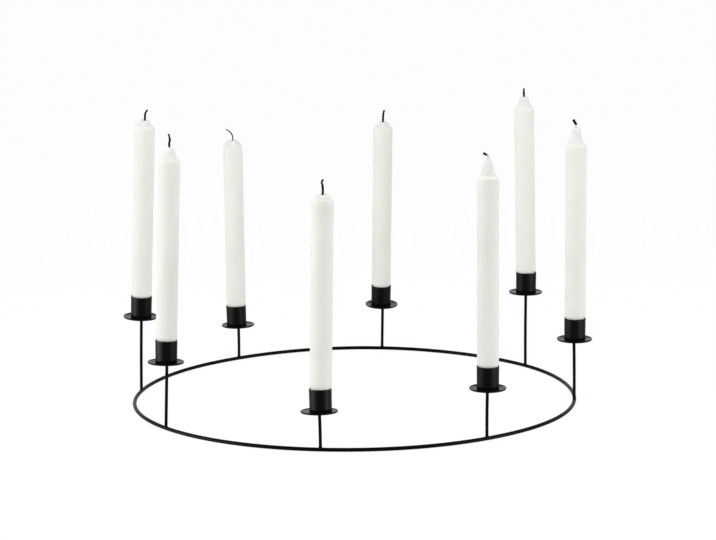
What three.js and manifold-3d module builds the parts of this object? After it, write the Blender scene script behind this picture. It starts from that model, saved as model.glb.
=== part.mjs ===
// Ring candle holder: a ring of steel wire that carries eight candle cups on stems of four
// lengths, with a candle in each cup. Millimetres, +Z up. The origin is at the centre of the
// ring, on the surface it lies on. Holder 1 stands on +X, and the others follow anticlockwise.

import * as THREE from 'three';
import { mergeVertices } from 'three/addons/utils/BufferGeometryUtils.js';
import Module from 'manifold-3d';

const wasm = await Module();
wasm.setup();

// Ring and stems
const RING_RADIUS = 240;
const WIRE_DIAMETER = 4;
const STEM_DIAMETER = 3.2;
const STEM_REACH = { low: 38.2, mid: 52, high: 67.8, top: 83.6 };
const BEAD_DIAMETER = 4.2;
const BEAD_HEIGHT = 2.6;
const COLLAR_DIAMETER = 4.6;
const COLLAR_HEIGHT = 1.4;

// Drip plates and cups
const PLATE_DIAMETER = 38;
const PLATE_THICKNESS = 1;
const LIP_HEIGHT = 1;
const CUP_DIAMETER = 23;
const CUP_HEIGHT = 23;
const CUP_WALL = 0.6;
const CUP_FLOOR = 0.8;

// Candles and wicks
const CANDLE_DIAMETER = 22.3;
const CANDLE_LENGTH = 210;
const CANDLE_EDGE = 0.5;
const FOOT_CLEARANCE = 0.55;
const FOOT_TAPER = 2.2;
const WICK_DIAMETER = 2;

// Gaps between pieces: at welds and seats, under a candle, and round a wick in its bore
const SEAT_GAP = 0.3;
const CANDLE_GAP = 0.5;
const WICK_GAP = 0.3;

// Each holder is welded by hand, so it is a little off true. Angles are in degrees. A lean,
// tilt or shift is positive towards +X, and a nod towards -Y.
//   bearing      how far the holder stands from its even 45 degree place on the ring
//   stem         its step, its reach as a share of that step's, and its lean
//   tilt, nod    of the plate with its cup; the candle nods with them
//   plate, cup   how far the plate sits off the stem, and the cup off the plate, in stem
//                diameters
//   candle       its lean, and its length to the shoulder as a share of CANDLE_LENGTH
//   crown        what the flame has left of the candle's stepped tip, in candle radii: its
//                height, the radii of its tip and foot, and how high the melted shoulder
//                climbs to that foot
//   wick         points of the burnt end from where it leaves the wax, in wick diameters
const HOLDERS = [
  { bearing: -0.1, stem: { step: 'high', reach: 0.988, lean: -0.9 },
    tilt: 0.3, nod: 0.6, plate: 0.17, cup: 0.1,
    candle: { lean: 0.3, length: 1 },
    crown: { height: 1.58, tip: 0.38, foot: 0.77, rise: 0.14 },
    wick: [[-0.1, 0.05, 0.9], [-0.5, 0.15, 2.1], [-1.7, 0.1, 3.9]] },
  { bearing: -0.4, stem: { step: 'top', reach: 1.01, lean: -0.2 },
    tilt: 0.7, nod: 0.2, plate: -0.09, cup: 0.14,
    candle: { lean: -0.6, length: 0.999 },
    crown: { height: 1.14, tip: 0.41, foot: 0.72, rise: 0.09 },
    wick: [[0, 0, 1.6], [0.03, -0.15, 3.2], [0.16, -0.4, 4.7]] },
  { bearing: 1.7, stem: { step: 'mid', reach: 1.012, lean: 1.5 },
    tilt: 2.1, nod: 4.4, plate: -0.38, cup: -0.23,
    candle: { lean: 1.9, length: 1.003 },
    crown: { height: 0.66, tip: 0.5, foot: 0.74, rise: 0.22 },
    wick: [[0.04, 0.1, 2.6], [0.15, 0.25, 4.7], [0.67, 0.3, 6.9]] },
  { bearing: -1.1, stem: { step: 'low', reach: 0.997, lean: 1.2 },
    tilt: -1, nod: 0, plate: -0.13, cup: -0.48,
    candle: { lean: 0, length: 0.987 },
    crown: { height: 0.76, tip: 0.54, foot: 0.79, rise: 0.27 },
    wick: [[0, 0, 2.2], [-1.1, -0.3, 4.5], [-3.7, -0.7, 6.6]] },
  { bearing: 1.4, stem: { step: 'top', reach: 0.993, lean: 2.4 },
    tilt: 2.7, nod: 1.7, plate: -0.22, cup: 0.17,
    candle: { lean: 3.1, length: 0.996 },
    crown: { height: 0.75, tip: 0.52, foot: 0.71, rise: 0.34 },
    wick: [[0.1, 0.1, 1.9], [0.33, 0.4, 3.8], [1.35, 0.7, 5.5]] },
  { bearing: -0.5, stem: { step: 'high', reach: 1.018, lean: 1.3 },
    tilt: 1.1, nod: -2.1, plate: -0.32, cup: 0.13,
    candle: { lean: 1.9, length: 0.996 },
    crown: { height: 1.09, tip: 0.43, foot: 0.79, rise: 0.05 },
    wick: [[-0.1, -0.1, 2.9], [-0.05, -0.3, 5], [-0.45, -0.6, 7.3]] },
  { bearing: 0.9, stem: { step: 'low', reach: 1.005, lean: -0.9 },
    tilt: -1, nod: -3.3, plate: -0.06, cup: 0.48,
    candle: { lean: 0.9, length: 1.001 },
    crown: { height: 0.61, tip: 0.5, foot: 0.79, rise: 0.11 },
    wick: [[0, 0.15, 2.6], [-0.55, 0.2, 5.4], [0.15, 0, 7.6]] },
  { bearing: -1.9, stem: { step: 'mid', reach: 0.988, lean: 1.2 },
    tilt: 0.4, nod: 0, plate: 0.1, cup: 0.04,
    candle: { lean: 0.2, length: 1.027 },
    crown: { height: 1.58, tip: 0.33, foot: 0.73, rise: 0.03 },
    wick: [[0.1, 0, 0.9], [-0.85, 0.15, 1.9], [-2.2, 0.4, 3]] },
];

// Facets round each kind of piece
const RING_STEPS = 96;
const WIRE_SIDES = 12;
const STEM_SIDES = 12;
const ROUND_SIDES = 28;
const CANDLE_SIDES = 22;
const WICK_SIDES = 6;

const wireRadius = WIRE_DIAMETER / 2;
const stemRadius = STEM_DIAMETER / 2;
const beadRadius = BEAD_DIAMETER / 2;
const collarRadius = COLLAR_DIAMETER / 2;
const cupRadius = CUP_DIAMETER / 2;
const boreRadius = cupRadius - CUP_WALL;
const footRadius = boreRadius - FOOT_CLEARANCE;
const candleRadius = CANDLE_DIAMETER / 2;
const wickRadius = WICK_DIAMETER / 2;

// The wire's section has a flat side below, so its centre is this high above the table.
const wireCentre = wireRadius * Math.cos(Math.PI / WIRE_SIDES);

const steel = { color: 0x1b1b1c, roughness: 0.45, metalness: 0.4 };
const wax = { color: 0xf2f0e6, roughness: 0.5, metalness: 0 };
const charredCotton = { color: 0x1a1816, roughness: 0.95, metalness: 0 };

function namedMesh(name, geometry, look) {
  const mesh = new THREE.Mesh(geometry, new THREE.MeshStandardMaterial(look));
  mesh.name = name;
  return mesh;
}

function revolve(outline, sides) {
  const points = outline.map(([radius, height]) => new THREE.Vector2(radius, height));
  return new THREE.LatheGeometry(points, sides).rotateX(Math.PI / 2);
}

function toSolid(geometry) {
  const bare = geometry.clone();
  bare.deleteAttribute('normal');
  bare.deleteAttribute('uv');
  const merged = mergeVertices(bare, 1e-4);
  const mesh = new wasm.Mesh({
    numProp: 3,
    vertProperties: new Float32Array(merged.attributes.position.array),
    triVerts: new Uint32Array(merged.index.array),
  });
  return new wasm.Manifold(mesh);
}

function fromSolid(solid) {
  const mesh = solid.getMesh();
  const geometry = new THREE.BufferGeometry();
  geometry.setAttribute('position', new THREE.BufferAttribute(mesh.vertProperties, 3));
  geometry.setIndex(new THREE.BufferAttribute(mesh.triVerts, 1));
  return geometry;
}

// The ring: the wire's section, closed on itself, turned once round the axis.
function ringGeometry() {
  const section = [];
  for (let i = 0; i <= WIRE_SIDES; i++) {
    const angle = ((i % WIRE_SIDES) + 0.5) / WIRE_SIDES * 2 * Math.PI;
    section.push([RING_RADIUS + wireRadius * Math.cos(angle), wireRadius * Math.sin(angle)]);
  }
  return revolve(section, RING_STEPS);
}

// A stem with its weld bead below and its collar above, from the wire's centre upwards. The
// leaning rod is cut to a saddle that follows the wire, which runs square to the bearing.
function stemGeometry(reach, lean, bearing) {
  const beadTop = wireRadius + BEAD_HEIGHT;
  const hollow = (outer) => stemRadius + (outer - stemRadius) * 0.3;
  const rod = revolve([
    [0, 0],
    [beadRadius, 0],
    [beadRadius, wireRadius],
    [hollow(beadRadius), wireRadius + BEAD_HEIGHT / 3],
    [stemRadius, beadTop],
    [stemRadius, reach - COLLAR_HEIGHT],
    [hollow(collarRadius), reach - COLLAR_HEIGHT / 3],
    [collarRadius, reach],
    [0, reach],
  ], STEM_SIDES).rotateY(lean);
  const cutRadius = wireRadius + SEAT_GAP;
  const wire = new THREE.CylinderGeometry(cutRadius, cutRadius, 3 * BEAD_DIAMETER, 2 * WIRE_SIDES)
    .rotateZ(bearing);
  return fromSolid(toSolid(rod).subtract(toSolid(wire)));
}

// A drip plate: a flat disc with its edge rolled up to a low rounded lip.
function plateGeometry() {
  const radius = PLATE_DIAMETER / 2;
  const round = PLATE_THICKNESS / 2;
  const lipTop = PLATE_THICKNESS + LIP_HEIGHT;
  return revolve([
    [0, 0],
    [radius - round, 0],
    [radius, round],
    [radius, lipTop - round],
    [radius - round, lipTop],
    [radius - 2 * round, PLATE_THICKNESS],
    [0, PLATE_THICKNESS],
  ], ROUND_SIDES);
}

// A cup: a drawn tube with a floor and a rounded rim, open above.
function cupGeometry() {
  const round = CUP_WALL / 2;
  return revolve([
    [0, 0],
    [cupRadius - round, 0],
    [cupRadius, round],
    [cupRadius, CUP_HEIGHT - round],
    [cupRadius - round, CUP_HEIGHT],
    [boreRadius, CUP_HEIGHT - round],
    [boreRadius, CUP_FLOOR],
    [0, CUP_FLOOR],
  ], ROUND_SIDES);
}

// A candle: a pared foot that stands in the cup, a straight body and the melted crown, with
// the wick's bore right through. Its shoulder is at the given length.
function candleGeometry(length, crown) {
  const bore = wickRadius + WICK_GAP;
  const footTop = CUP_HEIGHT - CUP_FLOOR - CANDLE_GAP;
  const [tip, foot] = [crown.tip * candleRadius, crown.foot * candleRadius];
  const rise = crown.rise * candleRadius;
  const height = crown.height * candleRadius;
  const waist = foot + (tip - foot) * 0.4;
  return revolve([
    [bore, 0],
    [footRadius - CANDLE_EDGE, 0],
    [footRadius, CANDLE_EDGE],
    [footRadius, footTop],
    [candleRadius, footTop + FOOT_TAPER],
    [candleRadius, length - CANDLE_EDGE],
    [candleRadius - CANDLE_EDGE, length],
    [foot, length + rise],
    [waist, length + rise + (height - rise) * 0.3],
    [tip, length + height - 2 * CANDLE_EDGE],
    [tip - 2 * CANDLE_EDGE, length + height],
    [bore, length + height - CANDLE_EDGE],
    [bore, 0],
  ], CANDLE_SIDES);
}

// A curve whose control points share the steps evenly, so the short bent end gets as many as
// the long straight run in the bore.
class WickPath extends THREE.CatmullRomCurve3 {
  getUtoTmapping(u) {
    return u;
  }
}

// A wick: straight up the bore to the top of the wax, then through the points of its burnt end.
function wickGeometry(top, burntEnd) {
  const path = new WickPath([
    new THREE.Vector3(0, 0, CANDLE_GAP),
    new THREE.Vector3(0, 0, top - 3 * WICK_DIAMETER),
    new THREE.Vector3(0, 0, top),
    ...burntEnd.map((point) => (
      new THREE.Vector3(...point).multiplyScalar(WICK_DIAMETER).add(new THREE.Vector3(0, 0, top))
    )),
  ]);
  const section = new THREE.Shape();
  for (let i = 0; i < WICK_SIDES; i++) {
    const angle = i / WICK_SIDES * 2 * Math.PI;
    const [x, y] = [wickRadius * Math.cos(angle), wickRadius * Math.sin(angle)];
    if (i === 0) section.moveTo(x, y);
    else section.lineTo(x, y);
  }
  section.closePath();
  const steps = 3 * (2 + burntEnd.length);
  return new THREE.ExtrudeGeometry(section, { steps, extrudePath: path, bevelEnabled: false });
}

// One holder with its candle, standing on the wire at its bearing.
function holder(number, spec) {
  const bearing = THREE.MathUtils.degToRad(360 / HOLDERS.length * (number - 1) + spec.bearing);
  const lean = THREE.MathUtils.degToRad(spec.stem.lean);
  const tilt = THREE.MathUtils.degToRad(spec.tilt);
  const nod = THREE.MathUtils.degToRad(spec.nod);
  const candleLean = THREE.MathUtils.degToRad(spec.candle.lean);
  const reach = STEM_REACH[spec.stem.step] * spec.stem.reach;

  const onWire = new THREE.Group();
  onWire.position.set(RING_RADIUS * Math.cos(bearing), RING_RADIUS * Math.sin(bearing), wireCentre);
  onWire.add(namedMesh(`stem_${number}`, stemGeometry(reach, lean, bearing), steel));

  const head = new THREE.Group();
  head.position.set(reach * Math.sin(lean), 0, reach * Math.cos(lean));
  head.rotation.set(nod, tilt, 0);
  onWire.add(head);

  const plate = namedMesh(`drip_plate_${number}`, plateGeometry(), steel);
  plate.position.set(spec.plate * STEM_DIAMETER, 0, SEAT_GAP);
  head.add(plate);

  const cup = namedMesh(`cup_${number}`, cupGeometry(), steel);
  cup.position.set((spec.plate + spec.cup) * STEM_DIAMETER, 0, PLATE_THICKNESS + 2 * SEAT_GAP);
  head.add(cup);

  // The candle leans about the middle of the cup, which keeps its foot clear of the wall.
  const pivotHeight = CUP_HEIGHT / 2;
  const inCup = new THREE.Group();
  inCup.position.copy(cup.position).add(new THREE.Vector3(0, 0, pivotHeight));
  inCup.rotation.y = candleLean - tilt;
  head.add(inCup);

  const candleBase = CUP_FLOOR + CANDLE_GAP - pivotHeight;
  const length = spec.candle.length * CANDLE_LENGTH;
  const candle = namedMesh(`candle_${number}`, candleGeometry(length, spec.crown), wax);
  candle.position.z = candleBase;
  const top = length + spec.crown.height * candleRadius;
  const wick = namedMesh(`wick_${number}`, wickGeometry(top, spec.wick), charredCotton);
  wick.position.z = candleBase;
  inCup.add(candle, wick);
  return onWire;
}

const group = new THREE.Group();
const ring = namedMesh('ring', ringGeometry(), steel);
ring.position.z = wireCentre;
group.add(ring, ...HOLDERS.map((spec, index) => holder(index + 1, spec)));

export default group;
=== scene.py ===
"""Ring candle holder: eight cups with candles on a wire ring, dressed for rendering.

Lengths below are in millimetres in each piece's own frame, and become metres in the scene.
Holder 1 stands on +X and the others follow anticlockwise.
"""

import math

import bpy
import numpy as np
from mathutils import Matrix, Vector, noise


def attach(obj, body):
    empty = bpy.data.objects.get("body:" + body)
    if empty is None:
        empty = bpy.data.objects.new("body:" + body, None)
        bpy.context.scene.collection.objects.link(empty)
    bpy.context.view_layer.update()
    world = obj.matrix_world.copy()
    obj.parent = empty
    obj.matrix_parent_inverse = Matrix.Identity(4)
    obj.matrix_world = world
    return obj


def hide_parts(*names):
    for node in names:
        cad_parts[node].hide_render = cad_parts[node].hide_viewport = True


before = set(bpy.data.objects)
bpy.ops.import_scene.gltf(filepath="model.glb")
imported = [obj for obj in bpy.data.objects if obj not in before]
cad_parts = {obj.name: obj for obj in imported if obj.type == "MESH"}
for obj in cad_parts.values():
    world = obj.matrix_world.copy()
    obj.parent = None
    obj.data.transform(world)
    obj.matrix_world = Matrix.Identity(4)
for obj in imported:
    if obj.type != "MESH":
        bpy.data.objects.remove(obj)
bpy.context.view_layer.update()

MM = 0.001

# Sizes of the steel pieces
RING_RADIUS = 240.0
WIRE_CENTRE = 1.932
WIRE_RADIUS = 1.93
COAT_ON_WIRE = 0.08
TABLE_CLEARANCE = 0.004
STEM_RADIUS = 1.66
STEM_COLLAR = 2.4
STEM_FILLET = 4.6
STEM_REACH = {"low": 38.2, "mid": 52.0, "high": 67.8, "top": 83.6}
SEAT_GAP = 0.3
PLATE_RADIUS = 18.98
PLATE_THICKNESS = 1.0
LIP_HEIGHT = 1.0
CUP_RADIUS = 11.49
CUP_BORE = 10.9
CUP_HEIGHT = 23.0
CUP_FLOOR = 0.8

# The wire's departure from a flat circle, in millimetres: waves per turn, size, where it peaks
# in degrees
OUT_OF_ROUND = [(1, 0.93, 268), (2, 0.91, 188), (3, 1.24, 285), (4, 0.2, 70),
                (5, 0.36, 262), (6, 0.36, 241), (7, 0.25, 295)]
MEAN_LIFT = 0.22
OUT_OF_FLAT = [(1, 0.04, 357), (2, 0.32, 193), (3, 0.11, 296), (4, 0.16, 34)]

# Sizes of the candles
CANDLE_RADIUS = 11.15
CANDLE_LENGTH = 210.0
CANDLE_GAP = 0.5
FOOT_RADIUS = 10.33
FOOT_TOP = 21.7
FOOT_TAPER = 2.2
WICK_DIAMETER = 2.0
WICK_STEP = 0.28
PLAIT_PITCH = 4.2
LOOSE_FIBRES = 6

# Light: the world's level, and how far the camera's side is turned about the ring's axis
WORLD_LEVEL = 0.53
ORBIT = math.radians(9.41875)

# One row per holder, as in the frame: angles in degrees, the stem's reach as a share of its
# step's, plate and cup shifts in stem diameters, length as a share of CANDLE_LENGTH, wick
# points in wick diameters above the wax, "pale" how far up the wick the char begins.
# "outline" is the melted crown: height above the shoulder, then how far its left and right
# sides stand from the candle's axis.
HOLDERS = [
    dict(bearing=-0.1, step="high", reach=0.988, lean=-0.9, tilt=0.3, nod=0.6,
         plate=0.17, cup=0.1, candle_lean=0.3, length=1.0, height=1.58,
         outline=[(-1.2, -11.1, 11.1), (-0.3, -10.6, 10.5), (0.4, -10.0, 9.6), (1.3, -9.4, 8.5),
                  (2.8, -8.7, 7.4), (4.7, -7.5, 6.6), (6.5, -6.6, 6.0), (9.5, -5.9, 5.4),
                  (13.0, -5.2, 4.8), (16.0, -4.6, 4.2), (17.1, -3.6, 3.4)],
         wick=[(-0.2, 0.05, 1.1), (-0.65, 0.15, 2.35), (-1.85, 0.1, 4.15)], thick=1.6,
         pale=2.8),
    dict(bearing=-0.4, step="top", reach=1.01, lean=-0.2, tilt=0.7, nod=0.2,
         plate=-0.09, cup=0.14, candle_lean=-0.6, length=0.999, height=1.14,
         outline=[(-2.6, -11.1, 11.1), (-1.0, -10.8, 10.8), (0.2, -10.1, 10.2),
                  (1.3, -9.1, 9.0), (2.4, -7.9, 8.0), (3.7, -6.6, 7.0), (5.0, -5.8, 6.1),
                  (7.5, -5.4, 5.7), (10.5, -4.9, 5.3), (11.8, -4.2, 4.5), (12.3, -3.4, 3.6)],
         wick=[(0.0, 0.0, 1.6), (0.03, -0.15, 3.2), (0.16, -0.4, 4.7)], thick=1.25, pale=-1.0),
    dict(bearing=1.7, step="mid", reach=1.012, lean=1.5, tilt=2.1, nod=4.4,
         plate=-0.38, cup=-0.23, candle_lean=1.9, length=1.003, height=0.66,
         outline=[(-0.6, -11.1, 11.1), (0.5, -11.0, 10.5), (1.6, -10.3, 9.0), (2.8, -8.9, 8.0),
                  (4.0, -7.6, 7.1), (5.2, -6.3, 6.5), (6.3, -5.1, 5.9), (6.9, -3.6, 4.8)],
         wick=[(0.04, 0.1, 2.6), (0.15, 0.25, 4.7), (0.67, 0.3, 6.9)], thick=1.28, pale=-1.0),
    dict(bearing=-1.1, step="low", reach=0.997, lean=1.2, tilt=-1.0, nod=0.0,
         plate=-0.13, cup=-0.48, candle_lean=0.0, length=0.987, height=0.76,
         outline=[(0.0, -11.1, 11.1), (1.0, -11.0, 10.8), (2.0, -10.6, 10.1), (3.2, -9.9, 9.0),
                  (4.5, -8.9, 8.2), (5.6, -8.2, 7.3), (6.8, -7.2, 6.3), (7.9, -5.9, 5.0)],
         wick=[(0.0, 0.0, 2.0), (-1.1, -0.3, 4.2), (-3.7, -0.7, 6.3)], thick=0.73, pale=-1.0),
    dict(bearing=1.4, step="top", reach=0.993, lean=2.4, tilt=2.7, nod=1.7,
         plate=-0.22, cup=0.17, candle_lean=3.1, length=0.996, height=0.75,
         outline=[(-0.6, -11.1, 11.1), (0.8, -11.1, 10.3), (2.0, -10.8, 9.2), (3.2, -9.6, 8.0),
                  (4.3, -8.2, 6.9), (5.4, -7.2, 6.1), (6.6, -6.4, 5.7), (7.7, -5.4, 5.2)],
         wick=[(0.0, 0.1, 1.9), (0.2, 0.4, 3.8), (1.22, 0.7, 5.5)], thick=1.16, pale=-1.0),
    dict(bearing=-0.5, step="high", reach=1.018, lean=1.3, tilt=1.1, nod=-2.1,
         plate=-0.32, cup=0.13, candle_lean=1.9, length=0.996, height=1.09,
         outline=[(-1.4, -11.1, 11.1), (-0.4, -10.8, 10.5), (0.4, -10.4, 9.9), (1.4, -9.9, 9.2),
                  (2.4, -9.0, 8.6), (3.5, -7.7, 7.6), (4.7, -6.7, 6.7), (6.8, -6.0, 6.0),
                  (8.8, -5.4, 5.6), (10.7, -4.4, 5.0), (11.6, -3.3, 4.0)],
         wick=[(-0.15, -0.1, 2.4), (0.2, -0.2, 4.2), (0.05, -0.3, 5.2), (-0.45, -0.6, 7.35)],
         thick=1.18, pale=1.0),
    dict(bearing=0.9, step="low", reach=1.005, lean=-0.9, tilt=-1.0, nod=-3.3,
         plate=-0.06, cup=0.48, candle_lean=0.9, length=1.001, height=0.61,
         outline=[(-0.5, -11.1, 11.1), (0.4, -11.0, 11.0), (1.4, -10.6, 10.2), (2.4, -10.0, 9.4),
                  (3.4, -9.3, 8.8), (4.4, -8.6, 8.1), (5.4, -7.7, 7.3), (6.2, -6.4, 6.2)],
         wick=[(0.0, 0.15, 2.75), (-0.35, 0.2, 4.9), (-0.6, 0.15, 6.2), (0.25, 0.0, 7.3)],
         thick=1.2, pale=-1.0),
    dict(bearing=-1.9, step="mid", reach=0.988, lean=1.2, tilt=0.4, nod=0.0,
         plate=0.1, cup=0.04, candle_lean=0.2, length=1.027, height=1.58,
         outline=[(-1.6, -11.1, 11.1), (-0.7, -10.7, 10.7), (0.0, -9.8, 9.7), (0.6, -8.7, 8.5),
                  (1.4, -8.1, 7.9), (2.8, -7.8, 7.4), (4.8, -7.1, 6.9), (6.9, -6.4, 6.4),
                  (8.9, -5.9, 5.8), (11.0, -5.3, 5.2), (13.0, -4.8, 4.6), (15.3, -4.2, 3.8),
                  (17.1, -3.4, 3.0)],
         wick=[(0.0, 0.0, 1.0), (-1.05, 0.15, 1.95), (-2.45, 0.4, 2.95)], thick=1.42, pale=3.4),
]


# ---- Meshes ----

def grid_piece(name, rings, closed=False):
    """A mesh of quads between rings of equally many points.

    Its ends are capped, or else a closed one runs back from the last ring to the first.
    """
    rings = np.asarray(rings, float)
    count, sides = rings.shape[:2]
    verts = rings.reshape(-1, 3).tolist()
    faces = []
    for i in range(count if closed else count - 1):
        a, b = i * sides, (i + 1) % count * sides
        for j in range(sides):
            k = (j + 1) % sides
            faces.append((a + j, a + k, b + k, b + j))
    if not closed:
        faces.append(tuple(range(sides))[::-1])
        faces.append(tuple(range((count - 1) * sides, count * sides)))
    mesh = bpy.data.meshes.new(name)
    mesh.from_pydata([tuple(v) for v in verts], [], faces)
    mesh.polygons.foreach_set("use_smooth", [True] * len(faces))
    mesh.update()
    return mesh


def join_meshes(name, meshes):
    """One mesh of several, which are used up."""
    verts, faces, base = [], [], 0
    for mesh in meshes:
        verts += [tuple(v.co) for v in mesh.vertices]
        faces += [tuple(base + i for i in p.vertices) for p in mesh.polygons]
        base += len(mesh.vertices)
        bpy.data.meshes.remove(mesh)
    joined = bpy.data.meshes.new(name)
    joined.from_pydata(verts, [], faces)
    joined.polygons.foreach_set("use_smooth", [True] * len(faces))
    joined.update()
    return joined


def place(mesh, matrix):
    """Moves a mesh from a piece's own frame in millimetres to the scene in metres."""
    mesh.transform(Matrix.Scale(MM, 4) @ matrix)
    return mesh


def add_piece(mesh, material, body, slot, *nodes):
    """Puts a mesh in the scene as a piece that rides a body and stands for its nodes."""
    piece = bpy.data.objects.new(mesh.name, mesh)
    bpy.context.scene.collection.objects.link(piece)
    mesh.materials.append(material)
    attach(piece, body)
    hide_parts(*nodes)
    return piece


def set_uv(mesh, coords):
    """One UV pair per vertex, in millimetres."""
    layer = mesh.uv_layers.new(name="millimetres")
    for loop in mesh.loops:
        layer.data[loop.index].uv = coords[loop.vertex_index]


def turned(profile, sides, wobble=None):
    """Rings of a turned shape. The profile is (radius, height); wobble shifts a radius."""
    rings = []
    for radius, height in profile:
        ring = []
        for j in range(sides):
            angle = 2 * math.pi * j / sides
            r = radius + (wobble(angle, radius, height) if wobble else 0.0)
            ring.append((r * math.cos(angle), r * math.sin(angle), height))
        rings.append(ring)
    return rings


def smooth_rows(rows, steps):
    """Catmull-Rom through rows of numbers, which keeps closely spaced rows crisp."""
    rows = np.asarray(rows, float)
    padded = np.vstack([2 * rows[0] - rows[1], rows, 2 * rows[-1] - rows[-2]])
    out = []
    for i in range(1, len(padded) - 2):
        p0, p1, p2, p3 = padded[i - 1:i + 3]
        for k in range(steps):
            t = k / steps
            out.append(0.5 * (2 * p1 + (p2 - p0) * t + (2 * p0 - 5 * p1 + 4 * p2 - p3) * t * t
                              + (3 * p1 - p0 - 3 * p2 + p3) * t ** 3))
    out.append(rows[-1])
    return np.array(out)


# ---- Materials ----

class Nodes:
    """A short way to write the nodes of a material or of the world."""

    def __init__(self, owner, output="ShaderNodeOutputMaterial"):
        self.owner = owner
        owner.use_nodes = True
        self.tree = owner.node_tree
        self.tree.nodes.clear()
        self.output = self.add(output)

    def add(self, kind, **settings):
        node = self.tree.nodes.new(kind)
        for key, value in settings.items():
            setattr(node, key, value)
        return node

    def link(self, source, target):
        self.tree.links.new(source, target)

    def principled(self, **values):
        shader = self.add("ShaderNodeBsdfPrincipled")
        for key, value in values.items():
            shader.inputs[key.replace("_", " ")].default_value = value
        self.link(shader.outputs[0], self.output.inputs["Surface"])
        return shader

    def coordinates(self, scale=(1, 1, 1)):
        source = self.add("ShaderNodeTexCoord").outputs["Object"]
        mapping = self.add("ShaderNodeMapping")
        mapping.inputs["Scale"].default_value = scale
        self.link(source, mapping.inputs["Vector"])
        return mapping.outputs["Vector"]

    def noise(self, vector, scale, detail=3.0, roughness=0.5):
        node = self.add("ShaderNodeTexNoise")
        node.inputs["Scale"].default_value = scale
        node.inputs["Detail"].default_value = detail
        node.inputs["Roughness"].default_value = roughness
        self.link(vector, node.inputs["Vector"])
        return node.outputs["Fac"]

    def ramp(self, fac, *stops):
        node = self.add("ShaderNodeValToRGB")
        elements = node.color_ramp.elements
        while len(elements) < len(stops):
            elements.new(0.5)
        for element, (position, colour) in zip(elements, stops):
            element.position = position
            element.color = (*colour, 1.0)
        self.link(fac, node.inputs["Fac"])
        return node.outputs["Color"]

    def spread(self, fac, low, high, from_low=0.3, from_high=0.7):
        node = self.add("ShaderNodeMapRange")
        node.inputs["From Min"].default_value = from_low
        node.inputs["From Max"].default_value = from_high
        node.inputs["To Min"].default_value = low
        node.inputs["To Max"].default_value = high
        self.link(fac, node.inputs["Value"])
        return node.outputs["Result"]

    def mix(self, fac, a, b):
        node = self.add("ShaderNodeMix", data_type="RGBA")
        self.link(fac, node.inputs[0])
        self.link(a, node.inputs[6])
        self.link(b, node.inputs[7])
        return node.outputs[2]

    def maths(self, operation, a, b):
        node = self.add("ShaderNodeMath", operation=operation)
        for value, socket in ((a, node.inputs[0]), (b, node.inputs[1])):
            if isinstance(value, (int, float)):
                socket.default_value = value
            else:
                self.link(value, socket)
        return node.outputs["Value"]

    def seen_directly(self):
        """1 where the camera, gloss or glass sees a surface, and 0 where it only lights others."""
        path = self.add("ShaderNodeLightPath").outputs
        return self.maths("MAXIMUM", path["Is Camera Ray"],
                          self.maths("MAXIMUM", path["Is Glossy Ray"],
                                     path["Is Transmission Ray"]))

    def height_above(self):
        """The millimetres that a piece keeps in its UV map's second number."""
        split = self.add("ShaderNodeSeparateXYZ")
        self.link(self.add("ShaderNodeUVMap", uv_map="millimetres").outputs["UV"],
                  split.inputs["Vector"])
        return split.outputs["Y"]

    def bump(self, height, distance, strength, onto=None):
        node = self.add("ShaderNodeBump")
        node.inputs["Distance"].default_value = distance
        node.inputs["Strength"].default_value = strength
        self.link(height, node.inputs["Height"])
        if onto is not None:
            self.link(onto, node.inputs["Normal"])
        return node.outputs["Normal"]


def coat_material(name, rough_low, rough_high, shine=0.045, peel=0.55, dull_foot=False):
    """Satin powder coat: near-black, with orange peel, fine grain and faint handling marks.

    The heat of the weld has left it dull round the foot of a cup.
    """
    n = Nodes(bpy.data.materials.new(name))
    shader = n.principled(Specular_IOR_Level=shine)
    where = n.coordinates()
    clouds = n.noise(where, 42, detail=4)
    grain = n.noise(where, 2600, detail=2)
    n.link(n.ramp(clouds, (0.3, (0.0012, 0.0012, 0.0013)), (0.7, (0.0022, 0.0022, 0.0024))),
           shader.inputs["Base Color"])
    smears = n.noise(n.coordinates(scale=(1, 1, 0.3)), 160, detail=5, roughness=0.6)
    rough = n.spread(smears, rough_low, rough_high)
    if dull_foot:
        edge = n.maths("ADD", n.height_above(), n.spread(smears, -0.4, 0.4))
        dull = n.spread(edge, 1.0, 0.0, from_low=2.2, from_high=3.4)
        rough = n.maths("MAXIMUM", rough, n.maths("MULTIPLY", dull, 0.95))
    n.link(rough, shader.inputs["Roughness"])
    orange_peel = n.bump(n.noise(where, 620, detail=1.5), 0.00004, peel)
    n.link(n.bump(grain, 0.00001, 0.5, onto=orange_peel), shader.inputs["Normal"])
    return n.owner


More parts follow.
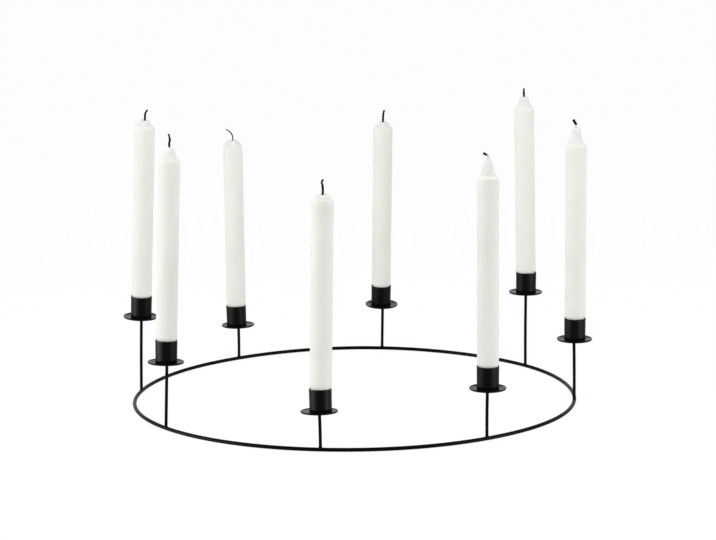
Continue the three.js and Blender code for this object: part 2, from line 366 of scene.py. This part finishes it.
def wax_material():
    """Off-white wax: translucent, faintly streaked along the candle, frosted on the crown and
    painted darker there as shade.
    """
    n = Nodes(bpy.data.materials.new("off_white_wax"))
    shader = n.principled(Specular_IOR_Level=0.04, Subsurface_Weight=0.6,
                          Subsurface_Radius=(1.0, 0.95, 0.7), Subsurface_Scale=0.006)
    where = n.coordinates()
    crown = n.spread(n.height_above(), 0.0, 1.0, from_low=-1.0, from_high=2.5)
    mottle = n.noise(where, 210, detail=5, roughness=0.62)
    body = n.ramp(n.noise(where, 38, detail=4), (0.32, (0.83, 0.835, 0.785)),
                  (0.68, (0.865, 0.865, 0.825)))
    # The crown's mottled frost is the wax's own, but its colour is also painted darker than the
    # body's as shade, which keeps the upward-facing crown from reading brighter under the light
    # from above.
    crown_frost_and_shade = n.ramp(mottle, (0.3, (0.755, 0.76, 0.742)), (0.7, (0.82, 0.823, 0.81)))
    n.link(n.mix(crown, body, crown_frost_and_shade), shader.inputs["Base Color"])
    streaks = n.noise(n.coordinates(scale=(1, 1, 0.06)), 420, detail=3)
    rough = n.maths("ADD", n.spread(streaks, 0.5, 0.6), n.maths("MULTIPLY", crown, 0.12))
    n.link(rough, shader.inputs["Roughness"])
    long_marks = n.bump(streaks, 0.00006, 0.35)
    soft_lumps = n.bump(n.noise(where, 130, detail=2), 0.00025, 0.35, onto=long_marks)
    n.link(n.bump(n.maths("MULTIPLY", mottle, crown), 0.0003, 0.5, onto=soft_lumps),
           shader.inputs["Normal"])
    return n.owner


def wick_material():
    """Cotton, pale with wax up to where the flame stopped, charred and a little ashy above."""
    n = Nodes(bpy.data.materials.new("charred_cotton"))
    shader = n.principled(Specular_IOR_Level=0.06)
    where = n.coordinates()
    fibre = n.noise(where, 2400, detail=4, roughness=0.7)
    patches = n.noise(where, 700, detail=3)
    char = n.ramp(patches, (0.35, (0.002, 0.0019, 0.0018)), (0.72, (0.009, 0.0082, 0.0075)))
    ash = n.ramp(fibre, (0.45, (0.006, 0.0055, 0.005)), (0.8, (0.07, 0.066, 0.062)))
    ashy = n.spread(patches, 0.0, 0.35, 0.58, 0.78)
    scorched = n.ramp(fibre, (0.3, (0.035, 0.02, 0.012)), (0.7, (0.12, 0.075, 0.045)))
    waxed = n.ramp(fibre, (0.3, (0.76, 0.75, 0.7)), (0.7, (0.85, 0.845, 0.81)))
    above = n.height_above()
    brown = n.spread(above, 0.0, 1.0, from_low=-0.25, from_high=0.15)
    burnt = n.spread(above, 0.0, 1.0, from_low=0.1, from_high=0.7)
    low_part = n.mix(brown, waxed, scorched)
    n.link(n.mix(burnt, low_part, n.mix(ashy, char, ash)), shader.inputs["Base Color"])
    n.link(n.spread(fibre, 0.8, 1.0), shader.inputs["Roughness"])
    n.link(n.bump(fibre, 0.00012, 0.8), shader.inputs["Normal"])
    return n.owner


def floor_material():
    """White paper. The camera and gloss see it lifted to white, with a faint shadow."""
    n = Nodes(bpy.data.materials.new("white_paper"))
    paper = n.add("ShaderNodeBsdfDiffuse")
    fibres = n.noise(n.coordinates(), 900, detail=3)
    n.link(n.ramp(fibres, (0.3, (0.885, 0.885, 0.885)), (0.7, (0.9, 0.9, 0.9))),
           paper.inputs["Color"])
    lift = n.add("ShaderNodeEmission")
    lift.inputs["Color"].default_value = (1, 1, 1, 1)
    lift.inputs["Strength"].default_value = 1.05
    total = n.add("ShaderNodeMixShader")
    n.link(n.maths("MULTIPLY", n.seen_directly(), 0.85), total.inputs[0])
    n.link(paper.outputs[0], total.inputs[1])
    n.link(lift.outputs[0], total.inputs[2])
    n.link(total.outputs[0], n.output.inputs["Surface"])
    return n.owner


# ---- Steel pieces ----

def wire_bend(angle):
    """How far the hand-bent wire stands outside its circle, and how far it is off the table."""
    def waves(rows):
        return sum(size * math.cos(count * angle - math.radians(peak))
                   for count, size, peak in rows)

    return waves(OUT_OF_ROUND), max(0.0, MEAN_LIFT + waves(OUT_OF_FLAT))


def wire_ring():
    """The wire, bent to a circle by hand, with a butt weld ground nearly flush at the back."""
    steps, sides = 480, 20
    weld = math.radians(67.0)
    rings = []
    for i in range(steps):
        angle = 2 * math.pi * i / steps
        outward, lift = wire_bend(angle)
        radius = RING_RADIUS + outward
        off_weld = abs((angle - weld + math.pi) % (2 * math.pi) - math.pi) * RING_RADIUS
        swell = 0.16 * math.exp(-(off_weld / 1.9) ** 2)
        ring = []
        for j in range(sides):
            turn = 2 * math.pi * j / sides
            grain = 0.035 * noise.noise(Vector((math.cos(turn) * 2, math.sin(turn) * 2, i * 0.9)))
            wide = WIRE_RADIUS + COAT_ON_WIRE + swell * (1 + 0.4 * math.sin(4 * turn)) \
                + grain * math.exp(-(off_weld / 3.2) ** 2)
            out, up = wide * math.cos(turn), wide * math.sin(turn)
            up = max(up, TABLE_CLEARANCE - WIRE_CENTRE)
            ring.append(((radius + out) * math.cos(angle), (radius + out) * math.sin(angle),
                         WIRE_CENTRE + up + lift))
        rings.append(ring)
    return place(grid_piece("wire_ring", rings, closed=True), Matrix())


def stem_rod(number, spec, on_wire, head):
    """A rod from its weld fillet, which spreads along the wire, up to the weld under the plate."""
    sides = 28
    reach = STEM_REACH[spec["step"]] * spec["reach"]
    bearing = math.radians(45 * (number - 1) + spec["bearing"])
    lean = math.tan(math.radians(spec["lean"]))
    seed = Vector((number * 3.7, number * 1.9, 0.4))
    outward, lift = wire_bend(bearing)
    to_wire = Vector((outward * math.cos(bearing), outward * math.sin(bearing), lift))
    rings = []

    def ring_at(height, radius):
        bow = 0.22 * math.sin(math.pi * height / reach) * math.sin(number * 2.1)
        foot = to_wire * (1 - height / reach)
        return [(height * lean + bow + foot.x + radius * math.cos(2 * math.pi * j / sides),
                 foot.y + radius * math.sin(2 * math.pi * j / sides), height + foot.z)
                for j in range(sides)]

    toe = []
    for j in range(sides):
        turn = 2 * math.pi * j / sides
        across = math.cos(turn - bearing)
        along = math.sin(turn - bearing)
        spread = 1 / math.hypot(across / 1.62, along / 2.75)
        spread *= 1 + 0.09 * noise.noise(seed + Vector((math.cos(turn), math.sin(turn), 0)) * 1.7)
        side = spread * across
        up = math.sqrt(max(WIRE_RADIUS ** 2 - side ** 2, 0.3)) - 0.12
        toe.append(Vector((spread * math.cos(turn), spread * math.sin(turn), up)))
    rings.append([to_wire + Vector((v.x * 0.6, v.y * 0.6, 0.0)) for v in toe])
    toe = [v + to_wire for v in toe]
    rings.append(toe)
    for step in range(1, 9):
        share = step / 8
        height = WIRE_RADIUS + (STEM_FILLET - WIRE_RADIUS) * share
        rod = ring_at(height, STEM_RADIUS)
        ring = []
        for j, (foot, stem) in enumerate(zip(toe, rod)):
            turn = 2 * math.pi * j / sides
            hold = (1 - share) ** 2.4
            ripple = 0.05 * math.sin(share * 15 + 2 * math.sin(turn + number)) * (1 - share)
            x = stem[0] + (foot[0] - stem[0]) * hold + ripple * math.cos(turn)
            y = stem[1] + (foot[1] - stem[1]) * hold + ripple * math.sin(turn)
            z = foot[2] + (stem[2] - foot[2]) * share ** 0.8
            ring.append((x, y, z))
        rings.append(ring)
    straight = reach - STEM_COLLAR - STEM_FILLET
    for step in range(1, 25):
        rings.append(ring_at(STEM_FILLET + straight * step / 24, STEM_RADIUS))
    to_foot = on_wire.inverted() @ head
    for share in (0.35, 0.6, 0.8, 0.93, 1.0):
        flare = 0.85 * share ** 3 * (1 + 0.1 * math.sin(number + 3 * share))
        wide = STEM_RADIUS + flare
        below = ring_at(reach - STEM_COLLAR + STEM_COLLAR * share, wide)
        top = [to_foot @ Vector((wide * math.cos(2 * math.pi * j / sides),
                                 wide * math.sin(2 * math.pi * j / sides),
                                 SEAT_GAP + 0.06 - STEM_COLLAR * (1 - share)))
               for j in range(sides)]
        rings.append([Vector(a).lerp(b, share) for a, b in zip(below, top)])
    return place(grid_piece(f"stem_rod_{number}", rings), on_wire)


def drip_disc(number, plate):
    """A pressed disc, a little out of flat, that rises softly to its rounded edge."""
    top, floor = PLATE_THICKNESS + LIP_HEIGHT, PLATE_THICKNESS - 0.04
    profile = [(0.4, 0.0), (6, 0.0), (12, 0.0), (16.5, 0.0)]
    profile += [(PLATE_RADIUS - inset, height) for inset, height in (
        (1.1, 0.0), (0.75, 0.05), (0.48, 0.22), (0.28, 0.52), (0.12, 0.88), (0.03, 1.18),
        (0.0, 1.44), (0.07, 1.72), (0.25, top - 0.07), (0.5, top), (0.8, top - 0.03),
        (1.3, top - 0.14), (2.0, top - 0.34), (2.8, top - 0.58), (3.7, top - 0.8),
        (4.8, floor + 0.08), (6.0, floor + 0.01))]
    profile += [(12, floor), (6, floor), (0.4, floor)]
    seed = Vector((number * 5.3, 0, 9.1))
    rings = turned(profile, 96)
    for ring in rings:
        for j, (x, y, z) in enumerate(ring):
            dip = 0.06 * noise.noise(seed + Vector((x, y, 0)) * 0.07)
            ring[j] = (x, y, z + dip * min(1, math.hypot(x, y) / 12))
    return place(grid_piece(f"drip_disc_{number}", rings), plate)


def candle_cup(number, cup):
    """A drawn tube with a thin rolled rim, a floor inside and a bead of weld round its foot."""
    seed = Vector((number * 2.3, 4.4, 1.0))
    sides = 96
    drop = -SEAT_GAP - 0.08
    draft = 0.16
    foot = CUP_RADIUS - draft
    profile = [(0.4, drop), (8.0, drop), (foot + 0.4, drop), (foot + 0.34, drop + 0.12),
               (foot + 0.16, drop + 0.26), (foot + 0.04, drop + 0.5), (foot, drop + 0.85)]
    profile += [(foot + draft * height / CUP_HEIGHT, height)
                for height in (3, 8, 13, 17, 20, CUP_HEIGHT - 0.42)]
    middle, half = (CUP_RADIUS + CUP_BORE) / 2, (CUP_RADIUS - CUP_BORE) / 2
    for i in range(1, 8):
        turn = math.pi * i / 8
        profile.append((middle + half * math.cos(turn), CUP_HEIGHT - 0.3 + 0.28 * math.sin(turn)))
    profile += [(CUP_BORE, CUP_HEIGHT - 0.42), (CUP_BORE, 19), (CUP_BORE, 12), (CUP_BORE, 5),
                (CUP_BORE, CUP_FLOOR + 0.5), (CUP_BORE - 0.15, CUP_FLOOR + 0.12),
                (CUP_BORE - 0.5, CUP_FLOOR), (6, CUP_FLOOR), (0.4, CUP_FLOOR)]

    def bead(angle, radius, height):
        if height > 0.7 or radius < foot:
            return 0.0
        return 0.1 * noise.noise(seed + Vector((math.cos(angle), math.sin(angle), 0)) * 5)

    mesh = grid_piece(f"candle_cup_{number}", turned(profile, sides, bead))
    set_uv(mesh, [(radius, height) for radius, height in profile for _ in range(sides)])
    return place(mesh, cup)


# ---- Candles and wicks ----

def wax_candle(number, spec, matrix):
    """The pared foot, the body and the crown, melted to its own outline, pitted at the wick."""
    sides = 72
    length = spec["length"] * CANDLE_LENGTH
    seed = Vector((number * 7.1, number * 2.7, 3.3))
    facets = [(2 * math.pi * (k + 0.3 * noise.noise(seed + Vector((k, 0, 0)))) / 13,
               FOOT_RADIUS * (0.985 + 0.012 * noise.noise(seed + Vector((0, k, 0)))))
              for k in range(13)]

    def pared(angle):
        reach = FOOT_RADIUS
        for facing, distance in facets:
            along = math.cos(angle - facing)
            if along > 0.7:
                reach = min(reach, distance / along)
        return reach

    rows = [(0.0, FOOT_RADIUS - 1.3, 0, 1), (0.1, FOOT_RADIUS - 0.7, 0, 1),
            (0.5, FOOT_RADIUS - 0.15, 0, 1), (1.0, FOOT_RADIUS, 0, 1), (5, FOOT_RADIUS, 0, 1),
            (10, FOOT_RADIUS, 0, 1), (16, FOOT_RADIUS, 0, 1), (FOOT_TOP, FOOT_RADIUS, 0, 1),
            (FOOT_TOP + 0.35 * FOOT_TAPER, FOOT_RADIUS + 0.26, 0, 0.7),
            (FOOT_TOP + 0.75 * FOOT_TAPER, FOOT_RADIUS + 0.6, 0, 0.3),
            (FOOT_TOP + FOOT_TAPER, CANDLE_RADIUS - 0.05, 0, 0),
            (FOOT_TOP + 1.3 * FOOT_TAPER, CANDLE_RADIUS, 0, 0)]
    start = length + spec["outline"][0][0]
    for height in np.linspace(rows[-1][0] + 4, start - 3.0, 30):
        rows.append((height, CANDLE_RADIUS, 0, 0))
    rows += [(start - 1.2, CANDLE_RADIUS, 0, 0), (start - 0.4, CANDLE_RADIUS - 0.02, 0, 0)]
    crown = [(length + h, (right - left) / 2, (right + left) / 2, 0)
             for h, left, right in spec["outline"]]
    rows += smooth_rows(crown, 4).tolist()
    top, tip, offset = rows[-1][0], rows[-1][1], rows[-1][2]
    rows += [(top + 0.32, tip - 0.7, offset * 0.9, 0), (top + 0.34, tip - 1.3, offset * 0.7, 0),
             (top + 0.1, max(tip - 1.9, 1.5), offset * 0.4, 0), (top - 0.35, 1.15, 0, 0),
             (top - 0.4, 0.5, 0, 0)]

    rings, coords = [], []
    for height, radius, shift, cut in rows:
        ring = []
        melt = min(max((height - start) / 3.0, 0.0), 1.0)
        for j in range(sides):
            angle = 2 * math.pi * j / sides
            r = radius + (pared(angle) - FOOT_RADIUS) * cut
            point = Vector((math.cos(angle) * r, math.sin(angle) * r, height))
            slow = noise.noise(seed + Vector((point.x * 0.06, point.y * 0.06, height * 0.03)))
            lumps = noise.noise(seed + point * 0.3) * 0.2 + noise.noise(seed + point * 0.9) * 0.06
            flutes = 0.07 * math.cos(11 * angle + number)
            r += 0.05 * slow * (1 - cut) - 0.05 * (1 - cut) \
                + melt * (lumps + flutes) * min(1, radius / 6)
            sink = melt * 0.3 * noise.noise(seed + Vector((point.x, point.y, 0)) * 0.25) \
                * min(1, radius / 5)
            ring.append((shift + r * math.cos(angle), r * math.sin(angle), height + sink))
            coords.append((angle * CANDLE_RADIUS, height - length))
        rings.append(ring)
    mesh = grid_piece(f"wax_candle_{number}", rings)
    set_uv(mesh, coords)
    return place(mesh, matrix)


def tube(points, radii, sides):
    """A closed tube along points, in the plane that turns least from one point to the next."""
    points = [Vector(p) for p in points]
    rings = []
    across = None
    for i, point in enumerate(points):
        ahead = (points[min(i + 1, len(points) - 1)] - points[max(i - 1, 0)]).normalized()
        if across is None:
            across = ahead.orthogonal().normalized()
        across = (across - ahead * across.dot(ahead)).normalized()
        third = ahead.cross(across)
        rings.append([point + radii[i] * (across * math.cos(2 * math.pi * j / sides)
                                          + third * math.sin(2 * math.pi * j / sides))
                      for j in range(sides)])
    return grid_piece("strand", rings)


def evenly_spaced(path, short_by, step):
    """Points about a step apart along a path that ends early, and the length they span."""
    walked = [0.0]
    for a, b in zip(path, path[1:]):
        walked.append(walked[-1] + (b - a).length)
    total = walked[-1] - short_by
    count = int(total / step)
    spots = []
    for i in range(count + 1):
        want = total * i / count
        k = min(max(np.searchsorted(walked, want), 1), len(path) - 1)
        share = (want - walked[k - 1]) / (walked[k] - walked[k - 1])
        spots.append(path[k - 1].lerp(path[k], share))
    return spots, total


def across_path(spots):
    """Two directions across the path at each spot, which turn as little as they can."""
    frames, across = [], Vector((1, 0, 0))
    last = len(spots) - 1
    for i in range(last + 1):
        ahead = (spots[min(i + 1, last)] - spots[max(i - 1, 0)]).normalized()
        across = (across - ahead * across.dot(ahead)).normalized()
        frames.append((across.copy(), ahead.cross(across)))
    return frames


def plaited_strand(number, strand, spots, frames, total, wide):
    """One of three strands of a plait, which shrinks where the flame has eaten at its end."""
    count = len(spots) - 1
    points, radii = [], []
    for i, (spot, (a, b)) in enumerate(zip(spots, frames)):
        phase = 2 * math.pi * (total * i / count / PLAIT_PITCH + strand / 3)
        burnt = max(0.0, i / count - 0.75) / 0.25
        uneven = 0.08 * noise.noise(Vector((i * 0.6, strand, number)))
        shrink = (1 - 0.3 * burnt) * (1 + uneven)
        points.append(spot + (a * math.sin(phase) * 0.48
                              + b * math.sin(2 * phase) * 0.34) * wide * shrink)
        radii.append(wide * 0.56 * shrink)
    return tube(points, radii, 9)


def carbon_crumb(number, centre, wide):
    """The lump of carbon at a wick's end."""
    rows, sides = 9, 12
    rings = []
    for i in range(rows):
        turned_by = math.pi * (i + 0.5) / rows
        ring = []
        for j in range(sides):
            angle = 2 * math.pi * j / sides
            way = Vector((math.sin(turned_by) * math.cos(angle),
                          math.sin(turned_by) * math.sin(angle), math.cos(turned_by)))
            size = wide * 0.95 * (1 + 0.45 * noise.noise(way * 2.1 + Vector((number, 0, 5))))
            ring.append(centre + way * size)
        rings.append(ring)
    return grid_piece("crumb", rings[::-1])


def loose_fibre(number, k, spots, frames, wide):
    """A fibre that stands out of the plait and curls up along it."""
    count = len(spots) - 1
    i = int(count * (0.45 + 0.09 * k))
    a, b = frames[i]
    bearing = 2.4 * k + number
    out = a * math.cos(bearing) + b * math.sin(bearing)
    rise = (spots[min(i + 2, count)] - spots[i]).normalized()
    hair = [spots[i] + out * wide * s + rise * (s * s * 0.5) for s in (0.6, 0.95, 1.3, 1.6)]
    return tube(hair, [0.07, 0.06, 0.045, 0.02], 5)


def charred_wick(number, spec, matrix):
    """Three plaited strands with a few loose fibres, and a crumb of carbon at the end."""
    length = spec["length"] * CANDLE_LENGTH + spec["height"] * CANDLE_RADIUS
    wide = 0.5 * WICK_DIAMETER * spec["thick"]
    ends = [(0.0, 0.0, -7.0), (0.0, 0.0, -3.0), (0.0, 0.0, 0.0)]
    ends += [tuple(WICK_DIAMETER * c for c in point) for point in spec["wick"]]
    path = [Vector(row) for row in smooth_rows(ends, 12)]
    spots, total = evenly_spaced(path, wide, WICK_STEP)
    frames = across_path(spots)
    parts = [plaited_strand(number, strand, spots, frames, total, wide) for strand in range(3)]
    parts.append(carbon_crumb(number, spots[-1], wide))
    parts += [loose_fibre(number, k, spots, frames, wide) for k in range(LOOSE_FIBRES)]
    mesh = join_meshes(f"charred_wick_{number}", parts)
    set_uv(mesh, [(v.co.x, v.co.z - spec["pale"]) for v in mesh.vertices])
    mesh.transform(Matrix.Translation((0, 0, length)))
    return place(mesh, matrix)


# ---- Building the object ----

def rotation(degrees, axis="Y"):
    return Matrix.Rotation(math.radians(degrees), 4, axis)


def translation(x, y, z):
    return Matrix.Translation((x, y, z))


def build():
    """The ring, and on it each holder's stem, plate, cup, candle and wick, each on the last."""
    steel = coat_material("satin_black_coat", 0.36, 0.43, shine=0.028, peel=0.25)
    plate_steel = coat_material("satin_black_coat_on_plates", 0.31, 0.38)
    cup_steel = coat_material("satin_black_coat_on_cups", 0.36, 0.43, dull_foot=True)
    wax, cotton = wax_material(), wick_material()
    add_piece(wire_ring(), steel, "holder", "black_steel", "ring")
    for number, spec in enumerate(HOLDERS, 1):
        bearing = math.radians(45 * (number - 1) + spec["bearing"])
        reach = STEM_REACH[spec["step"]] * spec["reach"]
        lean = math.radians(spec["lean"])
        on_wire = translation(RING_RADIUS * math.cos(bearing), RING_RADIUS * math.sin(bearing),
                              WIRE_CENTRE)
        head = on_wire @ translation(reach * math.sin(lean), 0, reach * math.cos(lean)) \
            @ rotation(spec["nod"], "X") @ rotation(spec["tilt"])
        across = 2 * STEM_RADIUS * spec["plate"]
        plate = head @ translation(across, 0, SEAT_GAP)
        cup = head @ translation(across + 2 * STEM_RADIUS * spec["cup"], 0,
                                 PLATE_THICKNESS + 2 * SEAT_GAP)
        candle = cup @ translation(0, 0, CUP_HEIGHT / 2) \
            @ rotation(spec["candle_lean"] - spec["tilt"]) \
            @ translation(0, 0, CUP_FLOOR + CANDLE_GAP - CUP_HEIGHT / 2)
        add_piece(stem_rod(number, spec, on_wire, head), steel, "holder", "black_steel",
                  f"stem_{number}")
        add_piece(drip_disc(number, plate), plate_steel, "holder", "black_steel",
                  f"drip_plate_{number}")
        add_piece(candle_cup(number, cup), cup_steel, "holder", "black_steel", f"cup_{number}")
        add_piece(wax_candle(number, spec, candle), wax, f"lifting_candle_{number}",
                  "candle_wax", f"candle_{number}")
        add_piece(charred_wick(number, spec, candle), cotton, f"lifting_candle_{number}",
                  "burnt_wick", f"wick_{number}")


# ---- Stage, light and camera ----

def soft_box(name, place_at, aim, size, power, gloss=False):
    """A rectangular lamp that lights either the matt or the glossy side of a surface."""
    light = bpy.data.lights.new(name, "AREA")
    light.shape = "RECTANGLE"
    light.size, light.size_y = size
    light.energy = power
    lamp = bpy.data.objects.new(name, light)
    lamp.location = place_at
    lamp.rotation_euler = (Vector(aim) - Vector(place_at)).to_track_quat("-Z", "Y").to_euler()
    lamp.visible_camera = False
    lamp.visible_diffuse = not gloss
    lamp.visible_glossy = gloss
    bpy.context.scene.collection.objects.link(lamp)


def broad_light(name, direction, strength):
    """A wide soft light from far away, which falls evenly on the object and the floor."""
    light = bpy.data.lights.new(name, "SUN")
    light.energy = strength
    light.angle = math.radians(45)
    lamp = bpy.data.objects.new(name, light)
    lamp.rotation_euler = (-direction).to_track_quat("-Z", "Y").to_euler()
    bpy.context.scene.collection.objects.link(lamp)


def stage():
    """A white paper floor in a studio that the camera sees as white."""
    half = 6.0
    mesh = bpy.data.meshes.new("paper_floor")
    mesh.from_pydata([(-half, -half, 0), (half, -half, 0), (half, half, 0), (-half, half, 0)],
                     [], [(0, 1, 2, 3)])
    floor = bpy.data.objects.new("paper_floor", mesh)
    bpy.context.scene.collection.objects.link(floor)
    mesh.materials.append(floor_material())

    world = bpy.data.worlds.new("studio")
    bpy.context.scene.world = world
    n = Nodes(world, "ShaderNodeOutputWorld")
    backdrop = n.add("ShaderNodeBackground")
    backdrop.inputs["Color"].default_value = (1, 1, 1, 1)
    n.link(n.spread(n.seen_directly(), WORLD_LEVEL, 1.0, from_low=0.0, from_high=1.0),
           backdrop.inputs["Strength"])
    n.link(backdrop.outputs[0], n.output.inputs["Surface"])


def seen_from(right, away, up):
    """A place in metres given from the camera's side: to its right, away from it, and up."""
    return Vector((right * math.cos(ORBIT) - away * math.sin(ORBIT),
                   right * math.sin(ORBIT) + away * math.cos(ORBIT), up))


def lights():
    """Side and top light as soft as in the photograph, and panels that only gloss shows."""
    body_height, cup_height = (0, 0, 0.15), (0, 0, 0.06)
    broad_light("left_light", seen_from(-0.875, -0.235, 0.423), 0.57)
    broad_light("right_light", seen_from(0.875, -0.235, 0.423), 0.26)
    soft_box("left_bank", seen_from(-1.0, -0.5, 0.45), body_height, (0.8, 0.6), 2.3)
    soft_box("right_bank", seen_from(1.0, -0.5, 0.45), body_height, (0.8, 0.6), 2.1)
    soft_box("top_bank", seen_from(0, -0.35, 0.9), seen_from(0, 0.3, 0.1), (0.8, 0.3), 2.0)
    soft_box("left_sheen", seen_from(-1.2, -0.35, 0.06), cup_height, (1.0, 0.1), 25, gloss=True)
    soft_box("right_sheen", seen_from(1.3, -0.68, 0.06), cup_height, (1.0, 0.1), 24, gloss=True)
    soft_box("rear_sheen", seen_from(0, 2.6, 0.75), (0, 0, 0.1), (4.0, 0.7), 12, gloss=True)


def camera():
    """The photograph's view: its height, turn and roll were fitted to the ring's ellipse."""
    pixels_wide, focal_pixels = 716, 2605.35
    distance, height_angle = 2.852965, 0.231129
    yaw, pitch, roll = 0.001685, 0.183123, 0.0125
    ahead = seen_from(math.sin(yaw) * math.cos(pitch), math.cos(yaw) * math.cos(pitch),
                      -math.sin(pitch))
    right = seen_from(math.cos(yaw), -math.sin(yaw), 0)
    down = ahead.cross(right)
    right, down = (right * math.cos(roll) + down * math.sin(roll),
                   down * math.cos(roll) - right * math.sin(roll))
    data = bpy.data.cameras.new("camera")
    data.sensor_width = 36.0
    data.lens = focal_pixels / pixels_wide * data.sensor_width
    data.clip_start, data.clip_end = 0.05, 50.0
    eye = bpy.data.objects.new("camera", data)
    eye.matrix_world = Matrix((
        (right.x, -down.x, -ahead.x, 0), (right.y, -down.y, -ahead.y, 0),
        (right.z, -down.z, -ahead.z, 0), (0, 0, 0, 1)))
    eye.location = seen_from(0, -distance * math.cos(height_angle),
                             distance * math.sin(height_angle) + WIRE_CENTRE * MM)
    bpy.context.scene.collection.objects.link(eye)
    bpy.context.scene.camera = eye


camera()
build()
stage()
lights()
bpy.context.scene.view_settings.view_transform = "Standard"
